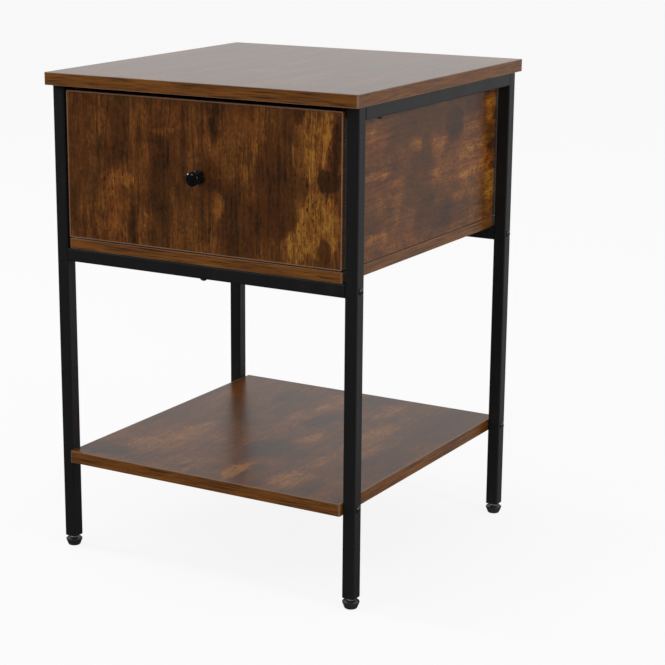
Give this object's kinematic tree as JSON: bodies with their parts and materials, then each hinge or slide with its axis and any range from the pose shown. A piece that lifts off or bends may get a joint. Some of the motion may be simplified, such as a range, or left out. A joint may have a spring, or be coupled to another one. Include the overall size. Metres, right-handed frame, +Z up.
{
  "type": "side table with drawer",
  "caption": "Square side table on a slim black steel tube frame, with a rustic wood-pattern top, a drawer with a round knob under it and a lower shelf.",
  "frame": {"origin": "on the floor, under the middle of the square tabletop", "axes": "+X across the front to the viewer's right when facing the drawer, -Y towards the person who opens the drawer, +Z up"},
  "size_m": [0.395, 0.402, 0.554],
  "materials": {
    "board_laminate": "satin rustic brown wood-pattern melamine",
    "edge_band": "satin printed wood-grain edge band",
    "drawer_laminate": "satin dark brown melamine",
    "hardboard": "matt brown faced hardboard",
    "powder_coat": "fine-textured matt black powder coat",
    "black_fastener": "semi-gloss black oxide",
    "zinc": "bright zinc plating",
    "runner_steel": "smooth black epoxy coat",
    "roller_nylon": "natural nylon",
    "plug_plastic": "matt black moulded plastic",
    "foot_plastic": "satin black moulded plastic",
    "knob_gloss": "gloss black enamel",
    "dowel_wood": "plain beech"
  },
  "bodies": {
    "root": {"tabletop_board": "board_laminate", "tabletop_edge_bands": "edge_band", "leg_front_left": "powder_coat", "leg_front_right": "powder_coat", "leg_rear_left": "powder_coat", "leg_rear_right": "powder_coat", "top_rail_left": "powder_coat", "top_rail_right": "powder_coat", "front_cross_rail": "powder_coat", "rear_cross_rail": "powder_coat", "rail_end_nuts": "zinc", "rail_bolts": "black_fastener", "leg_end_plugs": "plug_plastic", "tabletop_screws": "black_fastener", "bottom_board": "board_laminate", "bottom_board_edge_bands": "edge_band", "bottom_board_screws": "black_fastener", "side_panel_left": "board_laminate", "side_panel_right": "board_laminate", "back_panel": "hardboard", "panel_base_screws": "zinc", "panel_cam_bolts": "zinc", "panel_cam_locks": "zinc", "panel_dowels": "dowel_wood", "shelf_board": "board_laminate", "shelf_edge_bands": "edge_band", "shelf_insert_nuts": "zinc", "shelf_bolts": "black_fastener", "cabinet_runner_left": "runner_steel", "cabinet_runner_right": "runner_steel", "cabinet_runner_screws": "zinc", "front_roller_axles": "zinc"},
    "drawer": {"drawer_front_board": "board_laminate", "drawer_front_edge_bands": "edge_band", "drawer_side_left": "drawer_laminate", "drawer_side_right": "drawer_laminate", "drawer_back": "drawer_laminate", "drawer_bottom": "hardboard", "drawer_cam_bolts": "zinc", "drawer_cam_locks": "zinc", "drawer_box_screws": "zinc", "drawer_runner_left": "runner_steel", "drawer_runner_right": "runner_steel", "drawer_runner_screws": "zinc", "rear_roller_axles": "zinc", "drawer_knob": "knob_gloss", "knob_screw": "zinc"},
    "front_roller_left_body": {"front_roller_left": "roller_nylon"},
    "front_roller_right_body": {"front_roller_right": "roller_nylon"},
    "rear_roller_left_body": {"rear_roller_left": "roller_nylon"},
    "rear_roller_right_body": {"rear_roller_right": "roller_nylon"},
    "foot_front_left": {"foot_pad_front_left": "foot_plastic", "foot_stud_front_left": "zinc"},
    "foot_front_right": {"foot_pad_front_right": "foot_plastic", "foot_stud_front_right": "zinc"},
    "foot_rear_left": {"foot_pad_rear_left": "foot_plastic", "foot_stud_rear_left": "zinc"},
    "foot_rear_right": {"foot_pad_rear_right": "foot_plastic", "foot_stud_rear_right": "zinc"}
  },
  "joints": [
    {"name": "drawer_slide", "type": "slide", "parent": "root", "child": "drawer", "axis": [0, -1, 0], "range_m": [0, 0.235]},
    {"name": "front_roller_left_spin", "type": "hinge", "parent": "root", "child": "front_roller_left_body", "pos_m": [-0.15755, -0.163, 0.384], "axis": [1, 0, 0], "range_deg": [0, 1800]},
    {"name": "front_roller_right_spin", "type": "hinge", "parent": "root", "child": "front_roller_right_body", "pos_m": [0.15755, -0.163, 0.384], "axis": [1, 0, 0], "range_deg": [0, 1800]},
    {"name": "rear_roller_left_spin", "type": "hinge", "parent": "drawer", "child": "rear_roller_left_body", "pos_m": [-0.15715, 0.121, 0.384], "axis": [1, 0, 0], "range_deg": [0, 1800]},
    {"name": "rear_roller_right_spin", "type": "hinge", "parent": "drawer", "child": "rear_roller_right_body", "pos_m": [0.15715, 0.121, 0.384], "axis": [1, 0, 0], "range_deg": [0, 1800]},
    {"name": "foot_front_left_level", "type": "slide", "parent": "root", "child": "foot_front_left", "axis": [0, 0, 1], "range_m": [-0.008, 0.003]},
    {"name": "foot_front_right_level", "type": "slide", "parent": "root", "child": "foot_front_right", "axis": [0, 0, 1], "range_m": [-0.008, 0.003]},
    {"name": "foot_rear_left_level", "type": "slide", "parent": "root", "child": "foot_rear_left", "axis": [0, 0, 1], "range_m": [-0.008, 0.003]},
    {"name": "foot_rear_right_level", "type": "slide", "parent": "root", "child": "foot_rear_right", "axis": [0, 0, 1], "range_m": [-0.008, 0.003]}
  ],
  "couplings": [
    {"joint": "front_roller_left_spin", "follows": "drawer_slide", "rad_per_m": 133.33},
    {"joint": "front_roller_right_spin", "follows": "drawer_slide", "rad_per_m": 133.33},
    {"joint": "rear_roller_left_spin", "follows": "drawer_slide", "rad_per_m": 133.33},
    {"joint": "rear_roller_right_spin", "follows": "drawer_slide", "rad_per_m": 133.33}
  ]
}
